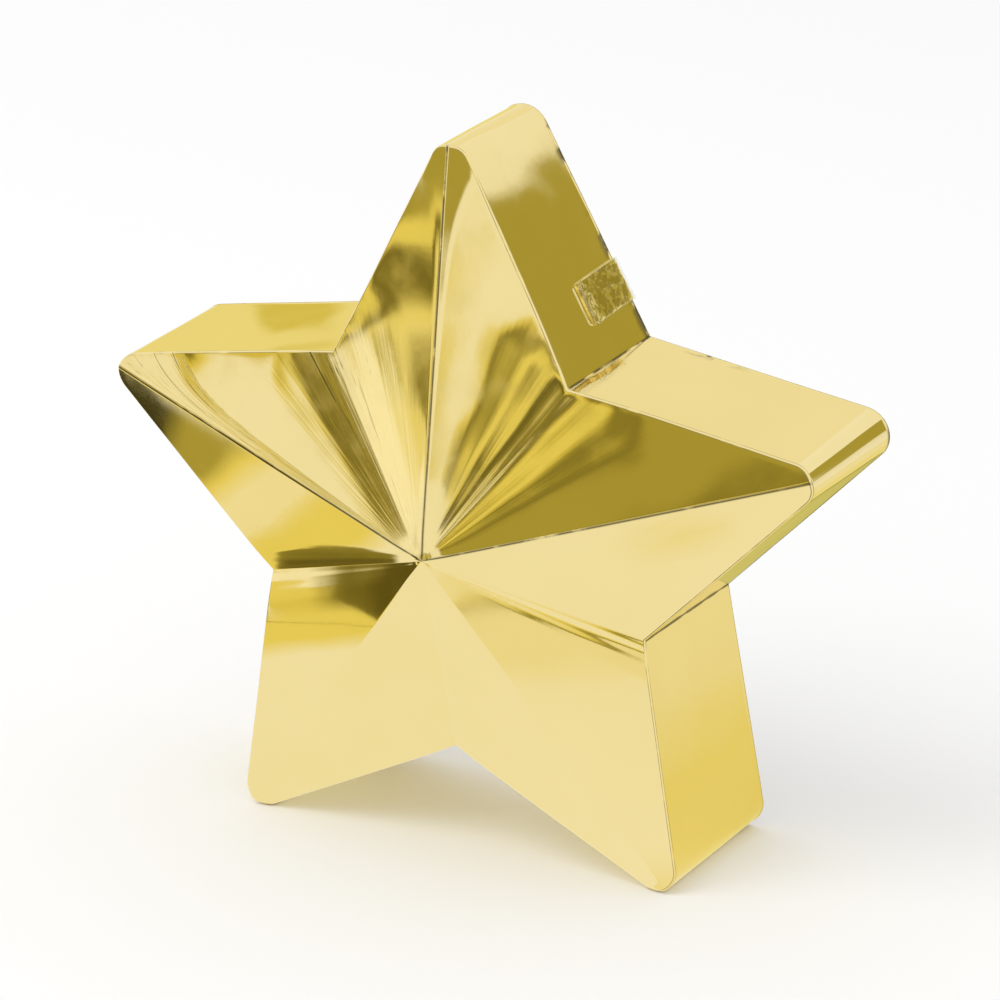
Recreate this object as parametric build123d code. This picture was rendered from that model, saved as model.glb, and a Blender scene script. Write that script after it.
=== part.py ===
from build123d import *
from math import cos, radians, sin, tan
import os

# Star-shaped balloon weight, in millimetres. A thin formed star shell is filled with cast
# plaster and closed by a board, and a clear film tab on one side wall takes the ribbon.
# The star is drawn lying on its open back, X to the right, Y to its top point, Z to the
# front, with Z = 0 at the middle of the rim. It is stood on its two lower points at the end.

# star shell
STAR_RADIUS = 59.4       # centre to the sharp corner of a point, at the middle of the rim
VALLEY_RADIUS = 30.5     # centre to the corner between two points, at the same depth
POINT_ROUND = 3.8        # rounding of each point, at the same depth
WALL_DEPTH = 24.0        # middle of the rim to the edge where the facets start
RIM_TILT = 3.4           # degrees that the rim is cut out of square, deeper at the feet
PEAK_HEIGHT = 8.7        # facet edge to the middle of the front
DRAFT = 1.6              # degrees that the side walls lean in towards the front
FRONT_ROUND = 0.5        # rounding between facets and side walls
SHELL_WALL = 0.5         # formed plastic sheet

# closing board, set in from the rim, and the glue bead in the corner behind it
BOARD_RECESS = 2.0
BOARD_THICKNESS = 1.2
BOARD_FIT = 0.3          # board edge to shell
BEAD_LEG = 1.5
BEAD_FEATHER = 0.1       # thickness of the bead where it thins out on the wall

# cast filling
CAST_GAP = 0.1           # left by the plaster as it dries

# tie tab
FILM = 0.3
TAB_WIDTH = 6.0
TAB_FROM_VALLEY = 8.5    # corner between two points to the middle of the tab
WALL_LAP = 11.0          # reach of the film along the side wall
ADHESIVE = 0.2
FOLD_GAP = 0.2           # between the stuck end and the fold
RIM_GAP = 0.1            # film to rim
EYE_RADIUS = 5.0
TIE_HOLE_RADIUS = 2.0

POINTS = 5
STEP = 360 / POINTS
TOP = 90
LEAN = tan(radians(DRAFT))
TILT = tan(radians(RIM_TILT))
PAST = 12                # how far the working solids run past the star
NEAR = 0.01              # taken as the same height

os.makedirs("parts", exist_ok=True)


def on_circle(radius, angle):
    return Vector(radius * cos(radians(angle)), radius * sin(radians(angle)))


# the edge at the right of the top point: along it, out of it, and its distance from the centre
TOP_CORNER = on_circle(STAR_RADIUS, TOP)
VALLEY_CORNER = on_circle(VALLEY_RADIUS, TOP - STEP / 2)
ALONG_EDGE = (VALLEY_CORNER - TOP_CORNER).normalized()
OUT_OF_EDGE = Vector(-ALONG_EDGE.Y, ALONG_EDGE.X)
EDGE_DISTANCE = TOP_CORNER.dot(OUT_OF_EDGE)

# the facets rise evenly from the front edge to the middle
FACET_REACH = EDGE_DISTANCE - WALL_DEPTH * LEAN
FACET_SLOPE = Vector(FACET_REACH, PEAK_HEIGHT).length / FACET_REACH

# the rim lies in one plane, tilted about X
FORWARD = Vector(0, -sin(radians(RIM_TILT)), cos(radians(RIM_TILT)))
RIM_PLANE = Plane((0, 0, 0), x_dir=(1, 0, 0), z_dir=FORWARD)


def sharp_star(inset):
    size = (EDGE_DISTANCE - inset) / EDGE_DISTANCE
    corners = []
    for number in range(POINTS):
        turn = TOP - number * STEP
        corners.append(on_circle(STAR_RADIUS * size, turn))
        corners.append(on_circle(VALLEY_RADIUS * size, turn - STEP / 2))
    return make_face(Polyline(*corners, close=True))


def rounded_star(inset):
    star = sharp_star(inset)
    ordered = star.vertices().sort_by(lambda corner: Vector(corner.X, corner.Y).length)
    return fillet(ordered[-POINTS:], POINT_ROUND - inset)


def leaning_walls(inset):
    high = WALL_DEPTH + PAST
    start = Pos(0, 0, -PAST) * rounded_star(inset - PAST * LEAN)
    end = Pos(0, 0, high) * rounded_star(inset + high * LEAN)
    return loft([start, end], ruled=True)


def facets(inset):
    peak = WALL_DEPTH + PEAK_HEIGHT - inset * FACET_SLOPE
    spread = FACET_REACH * (peak + PAST) / PEAK_HEIGHT
    base = Pos(0, 0, -PAST) * sharp_star(EDGE_DISTANCE - spread)
    return loft([base, Vertex(0, 0, peak)], ruled=True)


def slab(low, high):
    block = Box(3 * STAR_RADIUS, 3 * STAR_RADIUS, high - low)
    return RIM_PLANE * Pos(0, 0, (low + high) / 2) * block


def star_body(inset, low):
    return leaning_walls(inset) & facets(inset) & slab(low, WALL_DEPTH + PAST)


def rim_section(inset, height):
    return section(leaning_walls(inset), section_by=RIM_PLANE.offset(height))


def on_rim(corner):
    rise = corner.Y * TILT / (1 + corner.Y * TILT * LEAN / EDGE_DISTANCE)
    return corner * (1 - rise * LEAN / EDGE_DISTANCE) + Vector(0, 0, rise)


# star shell: one sheet of plastic formed over a mould, metallised outside, open at the back
outside = star_body(0, 0)
front_edges = outside.edges().filter_by(lambda edge: abs(edge.center().Z - WALL_DEPTH) < NEAR)
outside = fillet(front_edges, FRONT_ROUND)
star_shell = outside - star_body(SHELL_WALL, -PAST)

# plaster filling: cast in the shell up to the seat of the board
board_seat = BOARD_RECESS + BOARD_THICKNESS
plaster_filling = star_body(SHELL_WALL + CAST_GAP, board_seat)

# back board: cut star that lies on the plaster
back_board = leaning_walls(SHELL_WALL + BOARD_FIT) & slab(BOARD_RECESS, board_seat)

# glue bead: runs round the corner between board and shell and thins out on the wall
bead_top = BOARD_RECESS - BEAD_LEG
bead_block = leaning_walls(SHELL_WALL) & slab(bead_top, BOARD_RECESS)
thin_edge = rim_section(SHELL_WALL + BEAD_FEATHER, bead_top)
wide_foot = rim_section(SHELL_WALL + BEAD_LEG, BOARD_RECESS)
glue_bead = bead_block - loft([thin_edge, wide_foot], ruled=True)

# tie tab: the stuck end lies along the right wall of the top point, the free end folds
# over the rim and brings its eye to the middle line of the star
along_rim = (on_rim(VALLEY_CORNER) - on_rim(TOP_CORNER)).normalized()
rim_point = on_rim(VALLEY_CORNER) - along_rim * TAB_FROM_VALLEY
wall_outward = OUT_OF_EDGE * cos(radians(DRAFT)) + Vector(0, 0, sin(radians(DRAFT)))
wall_plane = Plane(rim_point, x_dir=along_rim.cross(wall_outward), z_dir=wall_outward)
across_back = along_rim.cross(FORWARD)
back_plane = Plane(rim_point, x_dir=across_back, z_dir=-FORWARD)

fold_out = ADHESIVE + FILM / 2
fold_back = RIM_GAP + FILM / 2
lap_start = FILM / 2 + FOLD_GAP - fold_back
lap_middle = (lap_start + WALL_LAP) / 2
lap = Pos(lap_middle, 0) * Rectangle(WALL_LAP - lap_start, TAB_WIDTH)

tab_adhesive = wall_plane * extrude(lap, ADHESIVE)
tab_stuck_end = wall_plane * Pos(0, 0, ADHESIVE) * extrude(lap, FILM)

eye_reach = -rim_point.X / across_back.X
strip_length = eye_reach + fold_out
free_outline = Pos(eye_reach - strip_length / 2, 0) * Rectangle(strip_length, TAB_WIDTH)
free_outline += Pos(eye_reach, 0) * Circle(EYE_RADIUS)
free_outline -= Pos(eye_reach, 0) * Circle(TIE_HOLE_RADIUS)
free_film = Pos(0, 0, RIM_GAP) * extrude(free_outline, FILM)
fold = Pos(-fold_out, 0, fold_back) * Rot(90, 0, 0) * Cylinder(FILM / 2, TAB_WIDTH)
tab_free_end = back_plane * (free_film + fold)

# stand the star on its two lower points, front to -Y, with the origin on the floor under
# the middle: leaning by the draft lays both points along the floor
round_centre = STAR_RADIUS - POINT_ROUND * STAR_RADIUS / EDGE_DISTANCE
foot_drop = POINT_ROUND - on_circle(round_centre, TOP + 2 * STEP).Y
rim_foot = foot_drop / (1 - TILT * LEAN)
front_reach = (WALL_DEPTH + PEAK_HEIGHT) * cos(radians(DRAFT))
back_reach = rim_foot * (sin(radians(DRAFT)) + TILT * cos(radians(DRAFT)))
standing = Pos(0, (front_reach - back_reach) / 2, foot_drop * cos(radians(DRAFT)))
standing = standing * Rot(90 + DRAFT, 0, 0)

export_step(standing * star_shell, "parts/star_shell.step")
export_step(standing * plaster_filling, "parts/plaster_filling.step")
export_step(standing * back_board, "parts/back_board.step")
export_step(standing * glue_bead, "parts/glue_bead.step")
export_step(standing * tab_adhesive, "parts/tab_adhesive.step")
export_step(standing * tab_stuck_end, "parts/tab_stuck_end.step")
export_step(standing * tab_free_end, "parts/tab_free_end.step")
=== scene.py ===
from math import asin, atan, cos, hypot, pi, radians, sin, tan

import bpy
from mathutils import Matrix, Vector, noise


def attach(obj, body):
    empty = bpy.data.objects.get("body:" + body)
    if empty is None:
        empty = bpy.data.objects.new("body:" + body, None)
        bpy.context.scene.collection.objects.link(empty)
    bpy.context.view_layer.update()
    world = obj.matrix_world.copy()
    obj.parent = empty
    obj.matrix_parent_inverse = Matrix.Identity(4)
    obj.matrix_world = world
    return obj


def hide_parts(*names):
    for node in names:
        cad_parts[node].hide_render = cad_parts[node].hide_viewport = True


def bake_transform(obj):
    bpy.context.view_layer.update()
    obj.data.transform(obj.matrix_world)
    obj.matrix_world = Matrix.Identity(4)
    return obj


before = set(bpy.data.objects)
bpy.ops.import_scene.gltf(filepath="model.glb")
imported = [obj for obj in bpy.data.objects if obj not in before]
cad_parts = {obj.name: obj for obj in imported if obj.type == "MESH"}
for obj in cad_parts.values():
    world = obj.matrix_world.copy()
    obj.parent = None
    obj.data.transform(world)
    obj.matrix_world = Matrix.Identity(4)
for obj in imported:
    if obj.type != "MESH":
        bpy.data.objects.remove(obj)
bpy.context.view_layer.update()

# Star shell: one sheet of plastic, half a millimetre thick and metallised gold outside. It is
# formed hot over a mould, which leaves soft creases, shallow waves and fine stretch lines in
# the facets, and its back edge is trimmed by a knife. All the other pieces are fixed to it.

# the formed sheet, in metres
STAR_RADIUS = 0.0594
VALLEY_RADIUS = 0.0305
POINT_ROUND = 0.0038
WALL_DEPTH = 0.024
PEAK_HEIGHT = 0.0087
FRONT_ROUND = 0.0005
RIDGE_ROUND = 0.0003
SHELL_WALL = 0.0005
DRAFT = radians(1.6)
RIM_TILT = radians(3.4)

# soft creases: their width at the valleys, how far they fill in, and how they widen outwards
UPPER_LEFT_CREASE = 0.0144
UPPER_RIGHT_CREASE = 0.0150
LOWER_CREASE = 0.0050
UPPER_SOFTNESS = 0.75
LOWER_SOFTNESS = -0.9
LEFT_FLARE = 0.5
RIGHT_FLARE = 1.0
NARROW_FROM, NARROW_TO = 0.029, 0.040
RIPPLE_HEIGHT = 0.000014
RIPPLES = 3.2
LEAST_WIDTH = 0.0001

# drawn-up lips along the upper ridges, the pinched middle with its nub, and the waves
LIP_SLOPE = 0.085
LIP_WIDTH = 0.0071
LIP_REACH = 0.0466
LIP_FLARE = 10.0
LIP_ROUND = 0.0026
LIP_FAN = 0.35
PINCH_DEPTH = 0.00022
PINCH_WIDTH = 0.0024
NUB_WIDTH = 0.0008
WAVE_HEIGHT = 0.00020
WAVE_LENGTH = 0.017
SKIN_SINK = 0.00002

# the mesh, and shares of it
POINTS = 5
HALF_STEP = pi / POINTS
COLUMNS = 80
APEX_ROWS = 1.4
WALL_TOP_SHARE = 0.97
# where dark lines are painted along the front edges and in the valleys, as painted shade and painted
# dark reflection
EDGE_SHADE_PLACE, EDGE_SHADE_WIDTH = 0.38, 0.12
VALLEY_SHADE_WIDTH = 0.0045
SIDE_POINT = (0.50, 0.62)
WELD = 1e-6


class Wire:
    """A socket of a node tree. Sums written with it add the nodes that work them out."""

    def __init__(self, tree, socket=None):
        self.tree = tree
        self.socket = socket

    def node(self, kind, settings=None, values=None, output=0):
        made = self.tree.nodes.new(kind)
        for name, setting in (settings or {}).items():
            if name == "stops":
                set_stops(made.color_ramp, setting)
            else:
                setattr(made, name, setting)
        for name, value in (values or {}).items():
            socket = made.inputs[name]
            for item in value if isinstance(value, list) else [value]:
                if isinstance(item, Wire):
                    self.tree.links.new(item.socket, socket)
                else:
                    socket.default_value = item
        return Wire(self.tree, made.outputs[output] if made.outputs else None)

    def beside(self, output):
        return Wire(self.tree, self.socket.node.outputs[output])

    def math(self, operation, *values):
        return self.node("ShaderNodeMath", {"operation": operation}, dict(enumerate(values)))

    def __add__(self, other):
        return self.math("ADD", self, other)

    __radd__ = __add__

    def __sub__(self, other):
        return self.math("SUBTRACT", self, other)

    def __rsub__(self, other):
        return self.math("SUBTRACT", other, self)

    def __mul__(self, other):
        return self.math("MULTIPLY", self, other)

    __rmul__ = __mul__

    def __truediv__(self, other):
        return self.math("DIVIDE", self, other)

    def __rtruediv__(self, other):
        return self.math("DIVIDE", other, self)

    def __pow__(self, power):
        return self.math("POWER", self, power)

    def sine(self):
        return self.math("SINE", self)

    def cosine(self):
        return self.math("COSINE", self)

    def least(self, other):
        return self.math("MINIMUM", self, other)

    def most(self, other):
        return self.math("MAXIMUM", self, other)


def set_stops(ramp, stops):
    while len(ramp.elements) < len(stops):
        ramp.elements.new(1.0)
    for element, (place, colour) in zip(ramp.elements, stops):
        element.position = place
        element.color = colour


def eased(wire, low, high):
    return wire.node(
        "ShaderNodeMapRange",
        {"interpolation_type": "SMOOTHSTEP"},
        {"Value": wire, "From Min": low, "From Max": high},
    )


def speckle(wire, place, size, detail=2.0):
    return wire.node(
        "ShaderNodeTexNoise", None, {"Vector": place, "Scale": 1.0 / size, "Detail": detail}
    )


def tinted(wire, share, first, second):
    return wire.node(
        "ShaderNodeMix", {"data_type": "RGBA"}, {0: share, 6: first, 7: second}, output=2
    )


def cell_spots(wire, place, density, low, high):
    cells = wire.node("ShaderNodeTexVoronoi", None, {"Vector": place, "Scale": density})
    return 1.0 - eased(cells, low, high)


def bumped(wire, relief, strength, height):
    values = {"Strength": strength, "Distance": height, "Height": relief}
    return wire.node("ShaderNodeBump", None, values)


def new_finish(name):
    finish = bpy.data.materials.new(name)
    finish.use_nodes = True
    finish.node_tree.nodes.clear()
    return finish, Wire(finish.node_tree)


def surfaced(finish, values):
    skin = Wire(finish.node_tree)
    surface = skin.node("ShaderNodeBsdfPrincipled", None, values)
    skin.node("ShaderNodeOutputMaterial", None, {"Surface": surface})
    return finish


def gold_finish():
    finish, skin = new_finish("gold_shell")
    place = skin.node("ShaderNodeTexCoord", output="Object")
    inside, stretch, fan, ridge_line, edge_line, worn_rim = [
        skin.node("ShaderNodeAttribute", {"attribute_name": name}, output="Fac")
        for name in ("inside", "stretch", "fan", "ridge_line", "edge_line", "worn_rim")
    ]

    # the metal is a shade uneven, rubbed dark along the upper ridges and dull inside; the dark lines
    # along the edges and valleys are painted shade and painted dark reflection
    clouds = speckle(skin, place, 0.022, 3.0)
    gold = skin.node(
        "ShaderNodeValToRGB",
        {"stops": [(0.3, (0.86, 0.71, 0.315, 1)), (0.7, (0.885, 0.735, 0.35, 1))]},
        {"Fac": clouds},
    )
    scuffs = eased(speckle(skin, place, 0.005, 6.0), 0.52, 0.62) * worn_rim
    rubbed_and_shaded = ridge_line * eased(speckle(skin, place, 0.0035, 5.0), 0.28, 0.46)
    # along the edges and in the valleys the darkening is painted shade and painted dark reflection,
    # broken into dashes
    patches = speckle(skin, place, 0.004, 5.0) + 0.3 * (edge_line - 1.0).most(0.0)
    rubbed_and_shaded = rubbed_and_shaded + edge_line * eased(patches, 0.36, 0.52)
    spokes = skin.node("ShaderNodeCombineXYZ", None, {"X": fan * 30.0, "Y": clouds * 2.0})
    threads = speckle(skin, spokes, 1.0 / 2.6)
    rubbed_and_shaded = rubbed_and_shaded + 0.75 * eased(threads, 0.62, 0.70) * eased(stretch, 0.45, 0.75)
    worn_and_shaded = tinted(skin, (scuffs + rubbed_and_shaded).least(0.92), gold, (0.05, 0.04, 0.012, 1))
    colour = tinted(skin, inside, worn_and_shaded, (0.60, 0.48, 0.20, 1))
    smudges = eased(speckle(skin, place, 0.006, 5.0), 0.45, 0.75)
    roughness = 0.055 + 0.05 * smudges + 0.3 * inside + 0.25 * scuffs + 0.04 * stretch

    # fine stretch lines run out of the middle beside the creases, with moulding pits between
    lines = speckle(skin, spokes, 1.0, 3.0)
    pits = cell_spots(skin, place, 260.0, 0.0, 0.12)
    peel = speckle(skin, place, 0.0015)
    relief = lines * stretch + 0.09 * peel - 0.25 * pits * eased(clouds, 0.5, 0.65)
    return surfaced(
        finish,
        {
            "Base Color": colour,
            "Metallic": 1.0 - 0.6 * inside,
            "Roughness": roughness,
            "Normal": bumped(skin, relief, 1.0, 0.000016),
        },
    )


def star_shell_form(sizes):
    tree = bpy.data.node_groups.new("star_shell_form", "GeometryNodeTree")
    tree.interface.new_socket("Geometry", in_out="OUTPUT", socket_type="NodeSocketGeometry")
    for label in sizes:
        tree.interface.new_socket(label, in_out="INPUT", socket_type="NodeSocketFloat")
    tree.interface.new_socket("Finish", in_out="INPUT", socket_type="NodeSocketMaterial")
    entry = tree.nodes.new("NodeGroupInput")
    given = {label: Wire(tree, entry.outputs[label]) for label in [*sizes, "Finish"]}
    field = Wire(tree)
    star, valley, rounding = given["Star radius"], given["Valley radius"], given["Point round"]
    depth, peak, sheet = given["Wall depth"], given["Peak height"], given["Sheet"]
    front_round, ridge_round = given["Front round"], given["Ridge round"]
    lean = field.math("TANGENT", given["Draft"])
    tilt = field.math("TANGENT", given["Rim tilt"])

    # the straight edge at the right of the top point, and the rounding of the point
    step_x, step_y = sin(HALF_STEP), cos(HALF_STEP)
    run_x = valley * step_x
    run_y = valley * step_y - star
    run = (run_x * run_x + run_y * run_y) ** 0.5
    out_x = -1.0 * run_y / run
    out_y = run_x / run
    edge = star * out_y
    edge_turn = field.math("ARCTAN2", out_y, out_x)
    round_centre = star - rounding * star / edge
    arc = rounding * (pi / 2 - edge_turn)
    arc_share = arc / (arc + run - rounding * out_x / out_y)

    # columns run from the ridge of the point to the crease beside it, closest at both
    position = field.node("GeometryNodeInputPosition")
    x = field.node("ShaderNodeSeparateXYZ", None, {"Vector": position}, output="X")
    y, z = x.beside("Y"), x.beside("Z")
    across = 0.5 - 0.5 * ((x + 0.5) * pi).cosine()
    down = y + 0.5
    turned = (across / arc_share).least(1.0)
    along = ((across - arc_share) / (1.0 - arc_share)).most(0.0)
    facing = pi / 2 - (pi / 2 - edge_turn) * turned
    face_x, face_y = facing.cosine(), facing.sine()

    def outline(inset):
        size = (edge - inset) / edge
        arc_x = (rounding - inset) * face_x
        arc_y = round_centre + (rounding - inset) * face_y
        start_x = (rounding - inset) * out_x
        start_y = round_centre + (rounding - inset) * out_y
        end_x, end_y = valley * step_x * size, valley * step_y * size
        return arc_x + along * (end_x - start_x), arc_y + along * (end_y - start_y)

    front_inset = depth * lean
    reach = edge - front_inset
    rise = peak / reach
    crease_slope = rise * (out_x * step_y - out_y * step_x)

    def sharp_height(x, y):
        return depth + peak - rise * (x * out_x + y * out_y)

    def facet_height(x, y):
        blunt = (ridge_round - x).most(0.0)
        ridge = rise * out_x * blunt * blunt / (2.0 * ridge_round)
        from_middle = x * x + y * y
        pinch = field.math("EXPONENT", -1.0 * from_middle / PINCH_WIDTH**2)
        nub = field.math("EXPONENT", -1.0 * from_middle / NUB_WIDTH**2)
        return sharp_height(x, y) - ridge + given["Pinch depth"] * (nub - pinch)

    # the facets meet the walls in a small rounding
    pitch = field.math("ARCTANGENT", rise * (face_x * out_x + face_y * out_y))
    bend = pi / 2 - given["Draft"] - pitch
    tangent = front_round * field.math("TANGENT", bend * 0.5)
    edge_inset = front_inset + tangent * pitch.cosine()
    edge_x, edge_y = outline(edge_inset)
    edge_z = facet_height(edge_x, edge_y)

    def rounded(share):
        lean_out = pitch + bend * share
        x, y = outline(edge_inset - front_round * (lean_out.sine() - pitch.sine()))
        return x, y, edge_z + front_round * (lean_out.cosine() - pitch.cosine())

    def between(start, end, share):
        return [a + (b - a) * share for a, b in zip(start, end)]

    facet_share = down**APEX_ROWS
    facet_x, facet_y = edge_x * facet_share, edge_y * facet_share
    facet = (facet_x, facet_y, facet_height(facet_x, facet_y))
    none = 0.0 * down
    wall_share = 0.5 - 0.5 * (down * pi).cosine()
    wall_top = rounded(none + 1.0)
    rim_outer = (*outline(none), none)
    rim_inner = (*outline(sheet), none)
    lining_x, lining_y = outline(sheet + front_inset)
    sink = sheet * (reach * reach + peak * peak) ** 0.5 / reach
    lining = (lining_x, lining_y, sharp_height(lining_x, lining_y) - sink)
    back = 1.0 - down
    ceiling_x, ceiling_y = lining_x * back, lining_y * back
    ceiling = (ceiling_x, ceiling_y, sharp_height(ceiling_x, ceiling_y) - sink)

    # bands: rows, places, and what each point keeps for the trimming and the finish
    # dark dashes painted along the front edges and a dark line painted in each valley, as painted
    # shade and painted dark reflection
    off_side = field.math("ABSOLUTE", field.math("ABSOLUTE", down - 0.5) - EDGE_SHADE_PLACE)
    edge_shade_dashes = (1.0 - off_side / EDGE_SHADE_WIDTH).most(0.0)
    valley_shade_line = (1.0 - (1.0 - across) / VALLEY_SHADE_WIDTH).most(0.0)
    rounding_share = 1.0 - (1.0 - WALL_TOP_SHARE) * down
    at_edge = {"spot_x": edge_x, "spot_y": edge_y}
    at_lining = {"spot_x": lining_x, "spot_y": lining_y}
    bands = [
        (60, facet, {"spot_x": facet_x, "spot_y": facet_y, "front_share": 1.0}),
        (14, rounded(down), {**at_edge, "front_share": rounding_share, "edge_line": edge_shade_dashes}),
        (
            18,
            between(wall_top, rim_outer, wall_share),
            {
                **at_edge,
                "front_share": WALL_TOP_SHARE * (1.0 - wall_share),
                "rim_share": wall_share,
                "edge_line": valley_shade_line,
            },
        ),
        (3, between(rim_outer, rim_inner, down), {"rim_share": 1.0, "inside": 0.6}),
        (
            6,
            between(rim_inner, lining, down),
            {**at_lining, "front_share": down, "rim_share": back, "inside": 1.0},
        ),
        (8, ceiling, {"spot_x": ceiling_x, "spot_y": ceiling_y, "front_share": 1.0, "inside": 1.0}),
    ]
    strips = []

    def keep(geometry, name, value):
        return field.node(
            "GeometryNodeStoreNamedAttribute",
            {"data_type": "FLOAT", "domain": "POINT"},
            {"Geometry": geometry, "Name": name, "Value": value},
        )

    def kept(name):
        return field.node("GeometryNodeInputNamedAttribute", {"data_type": "FLOAT"}, {"Name": name})

    for rows, (to_x, to_y, to_z), shares in bands:
        counts = {"Size X": 1.0, "Size Y": 1.0, "Vertices X": COLUMNS, "Vertices Y": rows}
        strip = field.node("GeometryNodeMeshGrid", None, counts)
        for name, share in shares.items():
            strip = keep(strip, name, share)
        to = field.node("ShaderNodeCombineXYZ", None, {"X": to_x, "Y": to_y, "Z": to_z})
        strip = field.node("GeometryNodeSetPosition", None, {"Geometry": strip, "Position": to})
        strips.append(strip)

    # two mirrored halves make a point, and five points make the star
    half = field.node("GeometryNodeJoinGeometry", None, {"Geometry": strips})
    other = field.node("GeometryNodeTransform", None, {"Geometry": half, "Scale": (-1, 1, 1)})
    other = field.node("GeometryNodeFlipFaces", None, {"Mesh": other})
    point = field.node("GeometryNodeJoinGeometry", None, {"Geometry": [half, other]})
    spots = field.node("GeometryNodeMeshLine", None, {"Count": POINTS, "Offset": (0, 0, 0)})
    number = field.node("GeometryNodeInputIndex")
    turn = field.node("ShaderNodeCombineXYZ", None, {"Z": number * (-2.0 * HALF_STEP)})
    turn = field.node("FunctionNodeEulerToRotation", None, {"Euler": turn})
    placed = {"Points": spots, "Instance": point, "Rotation": turn}
    body = field.node("GeometryNodeInstanceOnPoints", None, placed)
    body = field.node("GeometryNodeRealizeInstances", None, {"Geometry": body})
    body = field.node("GeometryNodeMergeByDistance", None, {"Geometry": body, "Distance": WELD})

    # soft creases fan out of the middle, widest between the upper points
    spot_x, spot_y = kept("spot_x"), kept("spot_y")
    away = spot_y * step_x - spot_x * step_y
    out = spot_x * step_x + spot_y * step_y
    from_middle = (x * x + y * y) ** 0.5 + WELD
    to_top, to_side = y / from_middle, x / from_middle
    upper = eased(to_top, sin(HALF_STEP / 2), sin(HALF_STEP / 2) + 0.01)
    to_right = eased(x, -0.001, 0.001)
    low, left, right = given["Lower crease"], given["Upper left crease"], given["Upper right crease"]
    crease = low + upper * (left + to_right * (right - left) - low)
    flare = LEFT_FLARE + to_right * (RIGHT_FLARE - LEFT_FLARE)
    narrowed = 1.0 - 0.5 * upper * eased(out, NARROW_FROM, NARROW_TO)
    width = crease * (out / valley) ** flare * narrowed + LEAST_WIDTH
    share = ((width - away) / width).most(0.0)
    low_soft = given["Lower softness"]
    softness = low_soft + upper * (given["Upper softness"] - low_soft)
    soft = softness * crease_slope * width * share * share / 2.0
    ripple = given["Ripple height"] * (2.0 * pi * RIPPLES * share).sine() * share * out / valley

    # the sheet is drawn up into a low lip along the upper ridges, wide at the left point's end
    to_left = eased(-1.0 * to_side, *SIDE_POINT)
    lip_run = spot_y / LIP_REACH
    lip_spread = (0.4 * lip_run + 0.6 * lip_run**LIP_FLARE) * (0.4 + 0.6 * to_left)
    lip_width = given["Lip width"] * lip_spread + LEAST_WIDTH
    lip_round = (0.5 * lip_width).least(LIP_ROUND)
    up_lip = (lip_width - spot_x).most(0.0)
    lip_start = up_lip.least(lip_round)
    lip = up_lip - lip_start + lip_start * lip_start / (2.0 * lip_round)
    lipped = upper * (1.0 - eased(to_side, *SIDE_POINT))
    lip = given["Lip slope"] * lipped * (lip - lip_width + 0.5 * lip_round)
    formed_z = z + kept("front_share") * (soft + ripple + lip)
    on_facet = eased(kept("front_share"), WALL_TOP_SHARE, 1.0)
    on_lip = to_left * eased(up_lip / lip_width, 0.0, 0.1)
    stretch = upper * (share * (1.0 - 0.6 * to_right) + on_lip).least(1.0)
    body = keep(body, "stretch", stretch * on_facet)

    # ridges and the rim are rubbed where a hand or a box has touched them; the dark lines along the
    # edges, in the valleys and at the rim under the right point are painted shade and painted dark
    # reflection
    worn_ridge = eased(to_top, 0.2, 0.3)
    ridge_line = (1.0 - spot_x / (0.9 * ridge_round)).most(0.0) * worn_ridge
    body = keep(body, "ridge_line", ridge_line * on_facet)
    shaded_edges = eased(to_top, 0.25, 0.35).most(eased(to_side, 0.55, 0.60))
    under_right = eased(to_side, 0.945, 0.955)
    rim_shade_line = eased(kept("rim_share"), 0.985, 1.0) * under_right
    lines = (kept("edge_line") * shaded_edges).most(rim_shade_line) * (1.0 + under_right)
    body = keep(body, "edge_line", lines)
    worn_rim = eased(kept("rim_share"), 0.93, 0.99) * eased(to_top, 0.55, 0.65) * to_right
    body = keep(body, "worn_rim", worn_rim)
    angle = away / (out + LEAST_WIDTH)
    body = keep(body, "fan", angle + on_lip * (LIP_FAN * up_lip / lip_width - angle))
    to = field.node("ShaderNodeCombineXYZ", None, {"X": x, "Y": y, "Z": formed_z})
    body = field.node("GeometryNodeSetPosition", None, {"Geometry": body, "Position": to})

    # the rim is trimmed in a tilted plane
    rim_share, inside = kept("rim_share"), kept("inside")
    trimmed_z = z + rim_share * y * tilt
    size = (edge - trimmed_z * lean) / (edge - z * lean)
    to = field.node("ShaderNodeCombineXYZ", None, {"X": x * size, "Y": y * size, "Z": trimmed_z})
    body = field.node("GeometryNodeSetPosition", None, {"Geometry": body, "Position": to})

    # shallow waves sink into the outside
    wave = speckle(field, position, given["Wave length"], 1.0)
    normal = field.node("GeometryNodeInputNormal")
    wave_sink = (given["Wave height"] * wave + SKIN_SINK) * (inside - 1.0).least(0.0)
    scaled = {"Vector": normal, "Scale": wave_sink}
    offset = field.node("ShaderNodeVectorMath", {"operation": "SCALE"}, scaled)
    body = field.node("GeometryNodeSetPosition", None, {"Geometry": body, "Offset": offset})
    body = field.node("GeometryNodeSetShadeSmooth", None, {"Geometry": body})
    coated = {"Geometry": body, "Material": given["Finish"]}
    body = field.node("GeometryNodeSetMaterial", None, coated)
    field.node("NodeGroupOutput", None, {"Geometry": body})
    return tree


def formed_piece(name, tree, values):
    piece = bpy.data.objects.new(name, bpy.data.meshes.new(name))
    bpy.context.scene.collection.objects.link(piece)
    form = piece.modifiers.new("form", "NODES")
    form.node_group = tree
    for socket in tree.interface.items_tree:
        if socket.in_out == "INPUT":
            form[socket.identifier] = values[socket.name]
    depsgraph = bpy.context.evaluated_depsgraph_get()
    mesh = bpy.data.meshes.new_from_object(piece.evaluated_get(depsgraph), depsgraph=depsgraph)
    piece.modifiers.clear()
    piece.data = mesh
    return piece


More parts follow.
